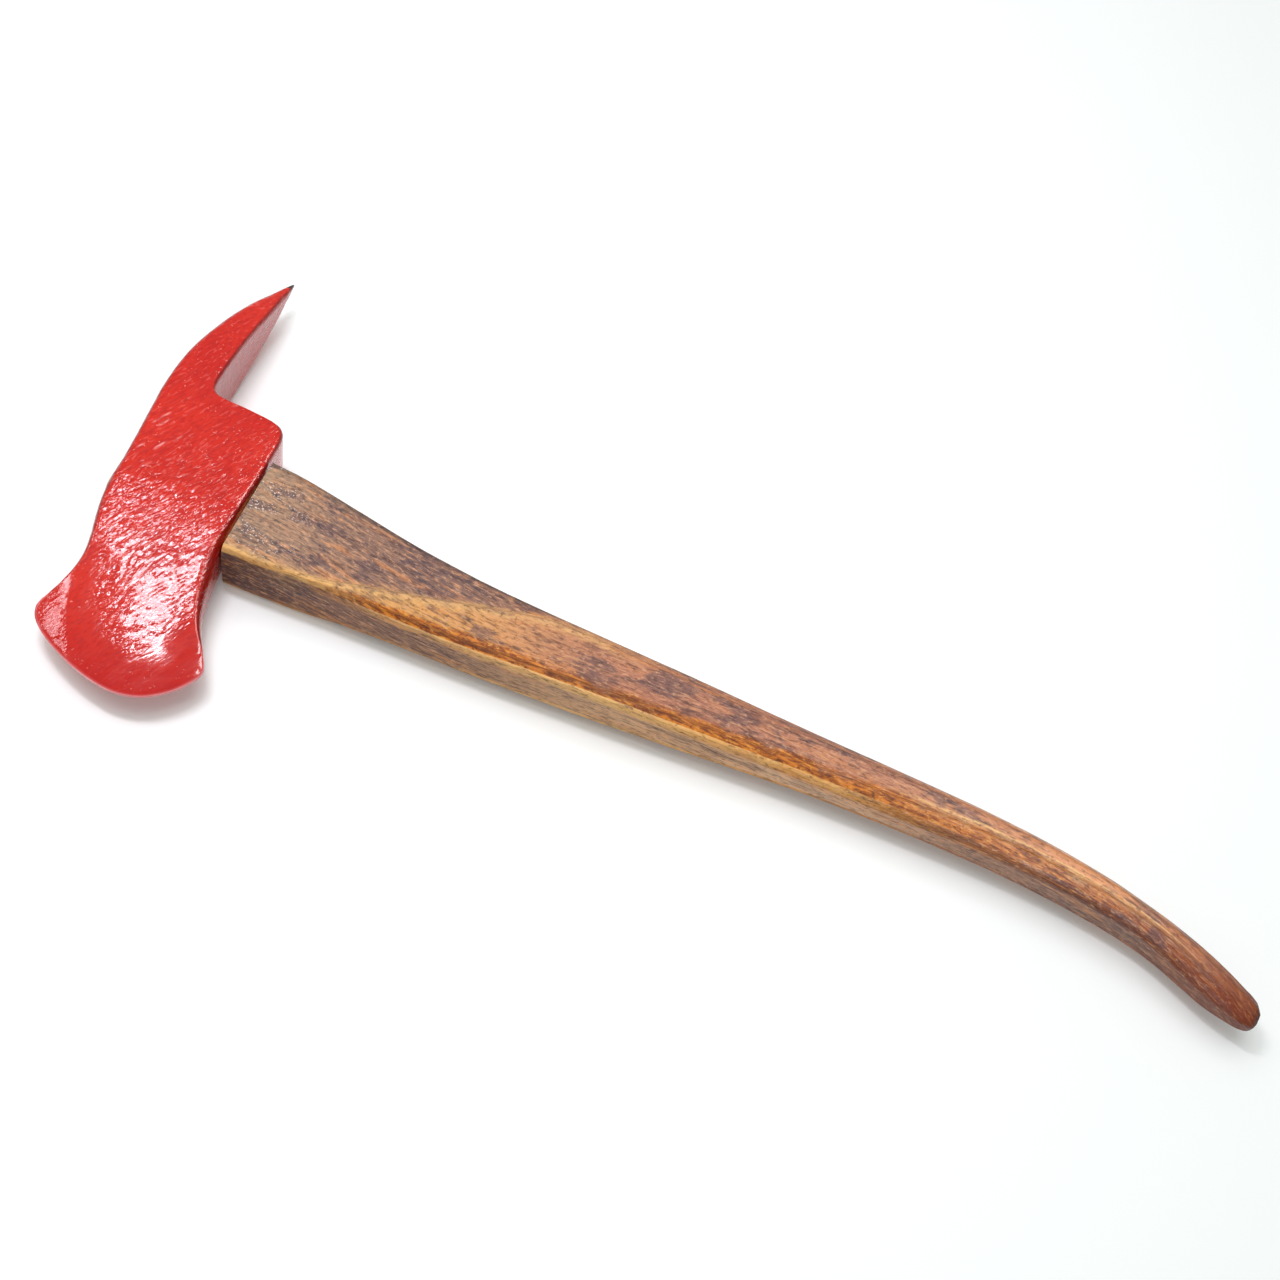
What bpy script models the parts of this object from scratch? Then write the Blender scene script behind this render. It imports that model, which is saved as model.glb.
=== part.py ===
"""Fire axe: a painted pick-head on a hardwood handle, with the wedges that hold the two together.

The axe lies flat. +X runs down the handle, +Y points along the pick, +Z is up, away from the surface it
lies on. The origin is the middle of the eye, on the head's lower cheek. Lengths below are in millimetres.
"""

import bpy
import numpy as np

MM = 0.001
GAP = 0.3  # clearance kept between touching pieces

THICKNESS = 44.0  # of the head over the eye, and of the handle's shoulder
MID = THICKNESS / 2

# Head
CROWN_X = -38.5  # where the handle's end shows in the crown
UNDERSIDE_X = 40.5
CHEEK_LOW_Y = -8.0  # the flat cheek ends here and the blade starts to thin
CHEEK_HIGH_Y = 72.0  # the flat cheek ends here and the pick starts to thin
PICK_TIP_Y = 174.0
EDGE_Y = -135.4
EDGE_HALF_THICKNESS = 3.5
BLADE_TAPER_POWER = 1.2
PICK_TAPER_POWER = 1.8
PICK_TAPER = 0.97  # share of the thickness lost at the tip
CROWN_ROUNDING = 5.0
BEARD_ROUNDING = 8.0
PICK_ROUNDING = 4.5  # along the underside, from the tip to the eye

# The head's outline as pairs across it: crown side x, y, then handle side x, y, then how far the line
# between the two takes on the shape of the cutting edge, from 0 to 1.
HEAD_STATIONS = [
    (-13.2, 173.7, -11.8, 173.4, 0.0),
    (-17.8, 163.5, -11.2, 161.0, 0.0),
    (-25.0, 145.0, -11.4, 140.0, 0.0),
    (-31.5, 124.0, -12.2, 119.0, 0.0),
    (-36.3, 103.0, -12.8, 98.0, 0.0),
    (-39.8, 84.0, -13.0, 80.0, 0.0),
    (-41.2, 69.0, -12.6, 68.4, 0.0),
    (-41.4, 58.0, -9.6, 62.4, 0.0),
    (-41.2, 49.5, -2.5, 60.2, 0.0),
    (-40.4, 40.0, 14.0, 59.9, 0.0),
    (-39.7, 31.0, 31.0, 58.4, 0.0),
    (-39.0, 23.0, 37.6, 54.8, 0.0),
    (-38.4, 15.5, 40.1, 47.8, 0.0),
    (-37.9, 8.0, 40.5, 36.0, 0.0),
    (-37.3, -1.0, 40.5, 20.0, 0.0),
    (-37.1, -11.0, 40.0, 4.0, 0.0),
    (-36.8, -21.0, 39.7, -12.0, 0.0),
    (-35.8, -33.0, 39.8, -27.0, 0.02),
    (-33.4, -44.5, 41.0, -40.0, 0.07),
    (-30.4, -56.0, 43.2, -51.0, 0.16),
    (-28.8, -67.5, 45.6, -61.5, 0.29),
    (-29.8, -78.5, 48.6, -71.5, 0.45),
    (-32.8, -88.0, 52.6, -80.5, 0.64),
    (-36.2, -95.0, 58.2, -89.5, 0.84),
    (-38.0, -98.8, 61.8, -95.6, 1.0),
]
EYE_STATION, BEARD_STATION = 15, 19  # between these the underside's rounding grows
ACROSS = 21  # points across each face of the head
ARC_STEPS = 4  # points round each of its long corners
# Where the cutting edge rounds off: stations short of the last one, and the share of the thickness left.
EDGE_ROUNDING = [(0.6, 1.0), (0.3, 0.97), (0.1, 0.82), (0.0, 0.45)]
# The cutting edge from toe to heel, with both of its rounded corners.
EDGE_OUTLINE = [
    (-38.0, -98.8),
    (-38.5, -105.6),
    (-33.8, -113.8),
    (-22.0, -122.2),
    (-6.0, -129.4),
    (11.0, -134.2),
    (27.0, -135.4),
    (41.5, -131.4),
    (54.4, -121.4),
    (63.0, -109.2),
    (64.6, -102.0),
    (61.8, -95.6),
]

# Handle: each line along it is a list of (x, value) pairs.
SHOULDER_X = 42.4
GRIP_END_X = 703.5
BACK = [  # y of the side under the pick
    (42.4, 31.5), (60, 30.4), (100, 24.2), (130, 19.2), (160, 15.2), (200, 12.6), (240, 12.8),
    (320, 14.2), (400, 13.6), (480, 12.4), (520, 10.6), (560, 7.0), (600, 0.6), (620, -4.2),
    (640, -9.8), (660, -16.9), (680, -25.2), (690, -30.0), (698, -33.8), (702, -36.6), (703.5, -39.6),
]
FRONT = [  # y of the side under the blade
    (42.4, -36.0), (60, -35.4), (100, -33.6), (160, -32.0), (200, -30.8), (240, -28.8),
    (320, -24.4), (400, -19.6), (440, -18.2), (520, -17.5), (560, -19.2), (600, -23.6),
    (620, -27.3), (640, -33.2), (656, -40.0), (672, -46.8), (686, -50.6), (697, -52.4), (702, -51.0),
    (703.5, -48.6),
]
HALF = [  # half thickness
    (42.4, 22.0), (200, 22.0), (240, 21.2), (280, 20.0), (320, 18.4), (360, 16.8), (400, 15.6),
    (480, 14.5), (600, 14.0), (640, 13.0), (670, 11.6), (690, 9.4), (700, 7.4), (703.5, 5.4),
]
BACK_DROP = [(42.4, 0.0), (160, 0.0), (200, 1.5), (260, 4.5), (340, 7.0), (600, 6.5), (703.5, 2.5)]
# Two ridges cross the upper face: (x, share of the width from the back) and (x, drop below the top).
CHEEK_LINE = [
    (42.4, 0.945), (60, 0.945), (100, 0.926), (130, 0.78), (160, 0.62), (200, 0.355), (240, 0.15),
    (300, 0.2), (600, 0.24), (703.5, 0.3),
]
RIDGE_LINE = [
    (42.4, 0.98), (100, 0.975), (130, 0.935), (200, 0.9), (280, 0.86), (360, 0.81), (440, 0.73),
    (520, 0.64), (600, 0.6), (703.5, 0.6),
]
RIDGE_DROP = [
    (42.4, 1.5), (100, 1.6), (130, 3.4), (160, 5.0), (200, 5.6), (240, 4.4), (320, 2.2),
    (480, 1.3), (703.5, 1.0),
]
SIDE_DROP = [
    (42.4, 7.0), (100, 6.5), (160, 8.5), (200, 8.2), (240, 6.5), (300, 5.0), (400, 5.0),
    (480, 4.5), (560, 3.2), (620, 3.2), (660, 4.5), (703.5, 3.5),
]
CORNER_LENGTH = [(42.4, 1.2), (200, 2.0), (300, 2.6), (600, 3.0), (703.5, 1.4)]

# Eye and tenon
TENON_HALF_LENGTH = 26.0
TENON_HALF_HEIGHT_LOW = 12.5  # under the head
TENON_HALF_HEIGHT_TOP = 14.0  # at the crown, where the wedges spread it
EYE_Y = -1.0

# Wedges: depth from the crown, half thickness at the crown and at the point, half width
WOOD_WEDGE = dict(depth=48.0, top=2.6, point=0.9, half_width=24.5)
STEEL_WEDGE = dict(depth=26.0, top=1.3, point=0.5, half_width=9.5)
WEDGE_PROUD = 0.5  # how far the wedges stand out of the crown
STEEL_WEDGE_Y = {"cross_wedge_pick_side": 13.0, "cross_wedge_blade_side": -13.0}

MATERIALS = {  # colour, roughness, metallic
    "red_paint": ((0.68, 0.035, 0.025, 1.0), 0.3, 0.0),
    "stained_wood": ((0.30, 0.13, 0.05, 1.0), 0.45, 0.0),
    "plain_wood": ((0.55, 0.36, 0.19, 1.0), 0.6, 0.0),
    "bare_steel": ((0.45, 0.44, 0.43, 1.0), 0.4, 1.0),
}


def clear_scene():
    for obj in list(bpy.data.objects):
        bpy.data.objects.remove(obj, do_unlink=True)


def material(name):
    found = bpy.data.materials.get(name)
    if found:
        return found
    colour, roughness, metallic = MATERIALS[name]
    made = bpy.data.materials.new(name)
    made.use_nodes = True
    shader = made.node_tree.nodes["Principled BSDF"]
    shader.inputs["Base Color"].default_value = colour
    shader.inputs["Roughness"].default_value = roughness
    shader.inputs["Metallic"].default_value = metallic
    return made


def curve_at(points, at):
    """A smooth curve through the points, whose first column is the parameter, read at one or many values."""
    table = np.asarray(points, float)
    knots, values = table[:, 0], table[:, 1:]
    secants = np.diff(values, axis=0) / np.diff(knots)[:, None]
    slopes = np.vstack([secants[:1], (secants[1:] + secants[:-1]) / 2, secants[-1:]])
    # A run between two equal values stays level.
    slopes[:-1][secants == 0] = 0
    slopes[1:][secants == 0] = 0
    at = np.atleast_1d(np.asarray(at, float))
    i = np.clip(np.searchsorted(knots, at, side="right") - 1, 0, len(knots) - 2)
    width = (knots[i + 1] - knots[i])[:, None]
    t = (at - knots[i])[:, None] / width
    start = (1 + 2 * t) * (1 - t) ** 2 * values[i] + t * (1 - t) ** 2 * width * slopes[i]
    end = t * t * (3 - 2 * t) * values[i + 1] + t * t * (t - 1) * width * slopes[i + 1]
    return start + end


def loft(name, rings, strip_end, material_name):
    """A closed mesh through rings of equal length. strip_end closes the last ring with a strip of quads
    across it instead of one face, for a ring that isn't flat."""
    count = len(rings[0])
    points = [tuple(np.asarray(p) * MM) for ring in rings for p in ring]
    faces = [tuple(range(count))[::-1]]
    for k in range(len(rings) - 1):
        for i in range(count):
            j = (i + 1) % count
            faces.append((k * count + i, k * count + j, (k + 1) * count + j, (k + 1) * count + i))
    last = (len(rings) - 1) * count
    if strip_end:
        half = count // 2
        for i in range(half - 1):
            faces.append((last + i, last + i + 1, last + count - 2 - i, last + count - 1 - i))
    else:
        faces.append(tuple(last + i for i in range(count)))
    mesh = bpy.data.meshes.new(name)
    mesh.from_pydata(points, [], faces)
    mesh.validate()
    mesh.shade_smooth()
    mesh.set_sharp_from_angle(angle=np.radians(35))
    obj = bpy.data.objects.new(name, mesh)
    bpy.context.scene.collection.objects.link(obj)
    obj.data.materials.append(material(material_name))
    return obj


def cut(obj, cutter):
    cutter.hide_render = True
    cutter.display_type = "WIRE"
    modifier = obj.modifiers.new(cutter.name, "BOOLEAN")
    modifier.operation = "DIFFERENCE"
    modifier.solver = "EXACT"
    modifier.object = cutter


def head_half_thickness(y):
    """Half thickness of the head at a place along it, from the cutting edge to the pick's tip."""
    down = np.clip((CHEEK_LOW_Y - y) / (CHEEK_LOW_Y - EDGE_Y), 0, 1)
    up = np.clip((y - CHEEK_HIGH_Y) / (PICK_TIP_Y - CHEEK_HIGH_Y), 0, 1)
    blade = MID - (MID - EDGE_HALF_THICKNESS) * down**BLADE_TAPER_POWER
    return blade * (1 - PICK_TAPER * up**PICK_TAPER_POWER)


def edge_share(share):
    """Where a share of the cutting edge's points falls along the straight line from toe to heel."""
    outline = np.array(EDGE_OUTLINE)
    chord = outline[-1] - outline[0]
    along = (outline - outline[0]) @ chord / (chord @ chord)
    knots = np.linspace(0, 1, len(outline))
    return curve_at(np.column_stack([knots, along]), share)[:, 0]


def across_head(left, right, bow, share):
    """Points across the head: a straight line where bow is 0, the cutting edge's own shape where it is 1."""
    outline = np.array(EDGE_OUTLINE)
    knots = np.linspace(0, 1, len(outline))
    edge = curve_at(np.column_stack([knots, outline]), share)
    along = edge_share(share)[:, None]
    chord = outline[0] + (outline[-1] - outline[0]) * along
    moved = share[:, None] + bow * (along - share[:, None])
    return left + (right - left) * moved + bow * (edge - chord)


def head_ring(left, right, bow, rounding, squeeze):
    """One closed ring round the head. squeeze scales its thickness, to round the cutting edge off."""
    arc = np.linspace(0, np.pi / 2, ARC_STEPS + 1)
    span = np.linalg.norm(right - left)
    toe_to_heel_y = (EDGE_OUTLINE[0][1] + EDGE_OUTLINE[-1][1]) / 2
    middle_y = (left[1] + right[1]) / 2 + bow * (EDGE_Y - toe_to_heel_y)
    half = head_half_thickness(middle_y) * squeeze
    radii = [min(radius, 0.42 * span, 0.9 * half) for radius in rounding]
    insets = [radius * (1 - np.cos(arc)) / span for radius in radii]
    heights = [half - radius + radius * np.sin(arc) for radius in radii]
    middle = np.linspace(insets[0][-1], 1 - insets[1][-1], ACROSS + 2)[1:-1]
    share = np.concatenate([insets[0], middle, 1 - insets[1][::-1]])
    height = np.concatenate([heights[0], np.full(ACROSS, half), heights[1][::-1]])
    plan = across_head(left, right, bow, share)
    upper = np.column_stack([plan, MID + height])
    lower = np.column_stack([plan, MID - height])[::-1]
    return np.vstack([upper, lower])


def make_head():
    """Rings from the tip of the pick to the cutting edge, closer together where the edge rounds off."""
    keys = [(k, *station) for k, station in enumerate(HEAD_STATIONS)]
    last = len(HEAD_STATIONS) - 1
    places = [(place, 1.0) for place in np.arange(0, last - 0.9, 0.5)]
    places += [(last - before, squeeze) for before, squeeze in EDGE_ROUNDING]
    underside = [
        (0, PICK_ROUNDING),
        (EYE_STATION, PICK_ROUNDING),
        (BEARD_STATION, BEARD_ROUNDING),
        (last, BEARD_ROUNDING),
    ]
    rings = []
    for place, squeeze in places:
        station = curve_at(keys, place)[0]
        rounding = (CROWN_ROUNDING, curve_at(underside, place)[0, 0])
        rings.append(head_ring(station[:2], station[2:4], station[4], rounding, squeeze))
    return loft("axe_head", rings, True, "red_paint")


def eight_sided(x, back, front, half, corners, length):
    """A flat ring across the handle. corners holds the upper half's four corners, from the back to the
    front, as (share of the width, drop below the top); the lower half mirrors them."""
    y = [back + (front - back) * share for share, _ in corners]
    z = [half - drop for _, drop in corners]
    upper = list(zip(y, z))
    lower = [(py, -pz) for py, pz in upper[::-1]]
    outline = np.array(upper + lower)
    ring = []
    for k, corner in enumerate(outline):
        before, after = outline[k - 1], outline[(k + 1) % len(outline)]
        to_before, to_after = before - corner, after - corner
        start = corner + to_before * min(length / np.linalg.norm(to_before), 0.42)
        end = corner + to_after * min(length / np.linalg.norm(to_after), 0.42)
        for t in (0.0, 0.33, 0.67, 1.0):
            p = (1 - t) ** 2 * start + 2 * t * (1 - t) * corner + t * t * end
            ring.append((x, p[0], MID + p[1]))
    return ring


def handle_ring(x):
    back, front, half, length = (curve_at(line, x)[0, 0] for line in (BACK, FRONT, HALF, CORNER_LENGTH))
    drops = (curve_at(line, x)[0, 0] for line in (BACK_DROP, RIDGE_DROP, SIDE_DROP))
    back_drop, ridge_drop, side_drop = drops
    cheek, ridge = (curve_at(line, x)[0, 0] for line in (CHEEK_LINE, RIDGE_LINE))
    corners = [(0.0, back_drop), (cheek, 0.0), (ridge, ridge_drop), (1.0, side_drop)]
    return eight_sided(x, back, front, half, corners, length)


def tenon_ring(x, grow=0.0):
    share = (x - CROWN_X) / (UNDERSIDE_X - CROWN_X)
    half = TENON_HALF_HEIGHT_TOP + (TENON_HALF_HEIGHT_LOW - TENON_HALF_HEIGHT_TOP) * share + grow
    reach = TENON_HALF_LENGTH + grow
    corners = [(0.0, 0.45 * half), (0.13, 0.0), (0.87, 0.0), (1.0, 0.45 * half)]
    return eight_sided(x, EYE_Y + reach, EYE_Y - reach, half, corners, 4.0)


def make_handle():
    tenon = [tenon_ring(x) for x in np.linspace(CROWN_X, SHOULDER_X, 5)]
    body = np.concatenate([
        np.arange(SHOULDER_X, 300, 14.0),
        np.arange(300, 600, 25.0),
        np.arange(600, 690, 11.0),
        [693.0, 698.0, 701.0, 702.6, GRIP_END_X],
    ])
    rings = tenon + [handle_ring(x) for x in body]
    return loft("handle", rings, False, "stained_wood")


def wedge(name, middle_y, depth, top, point, half_width, upright, grow, material_name):
    """A wedge driven in from the crown. An upright one is thin along Y, the other is thin along Z."""
    rings = []
    overshoot = 4.0 if grow else WEDGE_PROUD
    slope = (top - point) / depth
    for x in (CROWN_X - overshoot, CROWN_X + depth + grow):
        thin = top - slope * (x - CROWN_X) + grow
        wide = half_width + grow
        half_y, half_z = (thin, wide) if upright else (wide, thin)
        corners = ((half_y, half_z), (-half_y, half_z), (-half_y, -half_z), (half_y, -half_z))
        rings.append([(x, middle_y + y, MID + z) for y, z in corners])
    return loft(name, rings, False, material_name)


def main():
    clear_scene()
    head = make_head()
    handle = make_handle()
    eye = [tenon_ring(x, GAP) for x in (CROWN_X - 10, UNDERSIDE_X + 10)]
    cut(head, loft("eye_cutter", eye, False, "red_paint"))
    wood = wedge("eye_wedge", EYE_Y, **WOOD_WEDGE, upright=False, grow=0.0, material_name="plain_wood")
    kerf_size = dict(WOOD_WEDGE, half_width=TENON_HALF_LENGTH + 2)
    cut(handle, wedge("kerf_cutter", EYE_Y, **kerf_size, upright=False, grow=GAP, material_name="plain_wood"))
    for name, offset in STEEL_WEDGE_Y.items():
        y = EYE_Y + offset
        wedge(name, y, **STEEL_WEDGE, upright=True, grow=0.0, material_name="bare_steel")
        slot = wedge(name + "_cutter", y, **STEEL_WEDGE, upright=True, grow=GAP, material_name="bare_steel")
        cut(handle, slot)
        cut(wood, slot)


main()
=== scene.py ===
"""Fire axe, photographed lying on a white table: a head under thick brushed red paint, and a stained,
varnished hardwood handle.

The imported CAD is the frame. The head and the handle are rebuilt here from the same lines at a finer
pitch, with the paint's brush strokes and the wood's open grain in the mesh. Lengths are in millimetres
until a mesh is made.
"""

import math

import bpy
import numpy as np
from mathutils import Matrix, Vector


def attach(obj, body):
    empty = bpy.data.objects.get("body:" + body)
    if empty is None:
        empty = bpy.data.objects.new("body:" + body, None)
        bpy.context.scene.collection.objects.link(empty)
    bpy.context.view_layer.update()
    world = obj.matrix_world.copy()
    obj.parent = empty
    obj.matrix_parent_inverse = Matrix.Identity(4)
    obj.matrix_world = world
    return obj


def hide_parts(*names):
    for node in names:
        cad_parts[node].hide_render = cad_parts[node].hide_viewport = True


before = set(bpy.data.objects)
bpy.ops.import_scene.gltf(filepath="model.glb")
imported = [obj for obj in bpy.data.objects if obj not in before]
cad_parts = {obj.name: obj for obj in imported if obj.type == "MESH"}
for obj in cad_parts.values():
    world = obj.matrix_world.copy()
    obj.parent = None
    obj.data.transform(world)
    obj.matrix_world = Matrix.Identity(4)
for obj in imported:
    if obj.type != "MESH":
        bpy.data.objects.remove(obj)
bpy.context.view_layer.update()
MM = 0.001
GAP = 0.3  # between pieces that touch
THICKNESS = 44.0
MID = THICKNESS / 2
SHARP_ANGLE = math.radians(50)
ROUNDING_SHARE = 0.42  # the most that a rounding takes of the flat beside it
ROUNDING_DEPTH = 0.9  # and of the head's half thickness
NOISE_SPREAD = 1.7

# ---------------------------------------------------------------- the head's lines, as in the CAD
CROWN_X = -38.5
UNDERSIDE_X = 40.5
CHEEK_LOW_Y = -8.0
CHEEK_HIGH_Y = 72.0
PICK_TIP_Y = 174.0
EDGE_Y = -135.4
EDGE_HALF_THICKNESS = 3.5
BLADE_TAPER_POWER = 1.2
PICK_TAPER_POWER = 1.8
PICK_TAPER = 0.97
CROWN_ROUNDING = 4.5
BEARD_ROUNDING = 8.0
PICK_ROUNDING = 3.2
# Each station's crown side x and y, its underside x and y, and how far it follows the cutting edge's bow.
HEAD_STATIONS = [
    (-13.2, 173.7, -11.8, 173.4, 0.0),
    (-17.8, 163.5, -11.2, 161.0, 0.0),
    (-25.0, 145.0, -11.4, 140.0, 0.0),
    (-31.5, 124.0, -12.2, 119.0, 0.0),
    (-36.3, 103.0, -12.8, 98.0, 0.0),
    (-39.8, 84.0, -13.0, 80.0, 0.0),
    (-41.2, 69.0, -12.6, 68.4, 0.0),
    (-41.4, 58.0, -9.6, 62.4, 0.0),
    (-41.2, 49.5, -2.5, 60.2, 0.0),
    (-40.4, 40.0, 14.0, 59.9, 0.0),
    (-39.7, 31.0, 31.0, 58.4, 0.0),
    (-39.0, 23.0, 37.6, 54.8, 0.0),
    (-38.4, 15.5, 40.1, 47.8, 0.0),
    (-37.9, 8.0, 40.5, 36.0, 0.0),
    (-37.3, -1.0, 40.5, 20.0, 0.0),
    (-37.1, -11.0, 40.0, 4.0, 0.0),
    (-36.8, -21.0, 39.7, -12.0, 0.0),
    (-35.8, -33.0, 39.8, -27.0, 0.02),
    (-33.4, -44.5, 41.0, -40.0, 0.07),
    (-30.4, -56.0, 43.2, -51.0, 0.16),
    (-28.8, -67.5, 45.6, -61.5, 0.29),
    (-29.8, -78.5, 48.6, -71.5, 0.45),
    (-32.8, -88.0, 52.6, -80.5, 0.64),
    (-36.2, -95.0, 58.2, -89.5, 0.84),
    (-38.0, -98.8, 61.8, -95.6, 1.0),
]
EYE_STATION, BEARD_STATION = 15, 19
# The cutting edge, from toe to heel.
EDGE_OUTLINE = [
    (-38.0, -98.8),
    (-38.5, -105.6),
    (-33.8, -113.8),
    (-22.0, -122.2),
    (-6.0, -129.4),
    (11.0, -134.2),
    (27.0, -135.4),
    (41.5, -131.4),
    (54.4, -121.4),
    (63.0, -109.2),
    (64.6, -102.0),
    (61.8, -95.6),
]

# ---------------------------------------------------------------- the head's mesh and its paint
HEAD_RINGS, EDGE_RINGS = 320, 12  # rings down to the cutting edge, and over its rounding
EDGE_STRETCH = 0.6  # the part of the way between the last two stations that the rounding takes
EDGE_SQUEEZE = 0.3  # what the square of the thickness loses over it
CHEEK_POINTS = 110  # across each face
ARC_STEPS = 7  # round each of the faces' long edges
SIDE_ROWS = 7  # down each narrow side
EYE_OVERSHOOT = 10.0  # how far the eye's cutter reaches past the head
EDGE_POINTS = 160  # along the cutting edge, to measure from
STROKE_TURN = 64.0  # degrees from +X to the run of the brush strokes
STROKE_CELL = (8.0, 2.0, 4.0)  # along the strokes, across them and in thickness
STROKE_HEIGHT = 0.15
PIMPLE_CELL = 2.2
PIMPLE_HEIGHT = 0.055
SWELL_CELL = 26.0
SWELL_HEIGHT = 0.20
HIGHEST_PAINT = 0.3
PAINT_INSET = 0.12  # how far inside the CAD's surface the relief's middle lies
# The toe is flattened beyond a line: a point on it, the direction across it, and the flat's slope.
TOE_LINE = (-27.0, -92.0)
TOE_ACROSS = (-0.866, -0.5)
TOE_SLOPE = 0.09
TOE_SOFTNESS = 1.5
HEEL = (58.0, -108.0)  # the paint lies smooth round it
# Both faces fall away towards the cutting edge: from this far in, and by this much at the edge.
EDGE_BAND = 27.0
EDGE_FALL = 1.7
# Pale lines painted along scratches in the paint, as their highlights: the middle of each scratch and its
# length. They all run with the strokes.
SCRATCHES = [
    (-29.5, 30.0, 16.0),
    (-27.0, 27.5, 11.0),
    (-21.0, 12.0, 12.0),
    (-14.0, 21.0, 9.0),
    (-31.0, 7.0, 8.0),
]
CHIP = (-11.5, 128.0, 8.0)  # where the paint is off the pick's inner side

# ---------------------------------------------------------------- the handle's lines, as in the CAD
SHOULDER_X = 42.4
GRIP_END_X = 703.5
# Each line gives x and a value: y of the back and the front, the half thickness, and how far each corner
# of the section drops below the top. The cheek's and the ridge's lines are shares of the way to the front.
BACK = [
    (42.4, 31.5), (60, 30.4), (100, 24.2), (130, 19.2), (160, 15.2), (200, 12.6), (240, 12.8),
    (320, 14.2), (400, 13.6), (480, 12.4), (520, 10.6), (560, 7.0), (600, 0.6), (620, -4.2),
    (640, -9.8), (660, -16.9), (680, -25.2), (690, -30.0), (698, -33.8), (702, -36.6), (703.5, -39.6),
]
FRONT = [
    (42.4, -36.0), (60, -35.4), (100, -33.6), (160, -32.0), (200, -30.8), (240, -28.8),
    (320, -24.4), (400, -19.6), (440, -18.2), (520, -17.5), (560, -19.2), (600, -23.6),
    (620, -27.3), (640, -33.2), (656, -40.0), (672, -46.8), (686, -50.6), (697, -52.4), (702, -51.0),
    (703.5, -48.6),
]
HALF = [
    (42.4, 22.0), (200, 22.0), (240, 21.2), (280, 20.0), (320, 18.4), (360, 16.8), (400, 15.6),
    (480, 14.5), (600, 14.0), (640, 13.0), (670, 11.6), (690, 9.4), (700, 7.4), (703.5, 5.4),
]
BACK_DROP = [(42.4, 0.0), (160, 0.0), (200, 1.5), (260, 4.5), (340, 7.0), (600, 6.5), (703.5, 2.5)]
CHEEK_LINE = [
    (42.4, 0.945), (60, 0.945), (100, 0.926), (130, 0.78), (160, 0.62), (200, 0.355), (240, 0.15),
    (300, 0.2), (600, 0.24), (703.5, 0.3),
]
RIDGE_LINE = [
    (42.4, 0.98), (100, 0.975), (130, 0.935), (200, 0.9), (280, 0.86), (360, 0.81), (440, 0.73),
    (520, 0.64), (600, 0.6), (703.5, 0.6),
]
RIDGE_DROP = [
    (42.4, 1.5), (100, 1.6), (130, 3.4), (160, 5.0), (200, 5.6), (240, 4.4), (320, 2.2),
    (480, 1.3), (703.5, 1.0),
]
SIDE_DROP = [
    (42.4, 7.0), (100, 6.5), (160, 8.5), (200, 8.2), (240, 6.5), (300, 5.0), (400, 5.0),
    (480, 4.5), (560, 3.2), (620, 3.2), (660, 4.5), (703.5, 3.5),
]
CORNER_LENGTH = [(42.4, 1.2), (200, 2.0), (300, 2.6), (600, 3.0), (703.5, 1.4)]
TENON_HALF_LENGTH = 26.0
TENON_HALF_HEIGHT_LOW = 12.5
TENON_HALF_HEIGHT_TOP = 14.0
EYE_Y = -1.0
WOOD_WEDGE = dict(depth=48.0, top=2.6, point=0.9, half_width=28.0)
STEEL_WEDGE = dict(depth=26.0, top=1.3, point=0.5, half_width=9.5)
STEEL_WEDGE_Y = (13.0, -13.0)
WEDGE_OVERSHOOT = 4.0  # how far a wedge's cutter reaches past the crown
TENON_CORNER = 0.13  # of the tenon's length
TENON_CORNER_DROP = 0.45  # of its half height
TENON_CORNER_LENGTH = 4.0

# ---------------------------------------------------------------- the handle's mesh and its wood
FLATS = (26, 16, 7, 16, 7, 16, 26, 14)  # points along each flat of a ring
CORNER_POINTS = 5  # round each corner
CORNER_LANES = 0.1  # the part of a lane that a corner takes
SIDES = 8
TENON_RINGS = 6
# Cells of noise, along the handle and round it.
FIBRE_CELL = (26.0, 1.9)
FIBRE_HEIGHT = 0.06
PIT_CELL = (9.0, 1.5)
PIT_DEPTH = 0.16
WAVE_CELL = (45.0, 16.0)
WAVE_HEIGHT = 0.16
WANDER_CELL = (11.0, 1.0)
FADED_CELL = (9.0, 1.0)
WOOD_INSET = 0.14  # how far inside the CAD's surface the relief's middle lies
FACE_SHIFT = 0.013  # metres of noise between one flat's grain and the next one's
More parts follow.
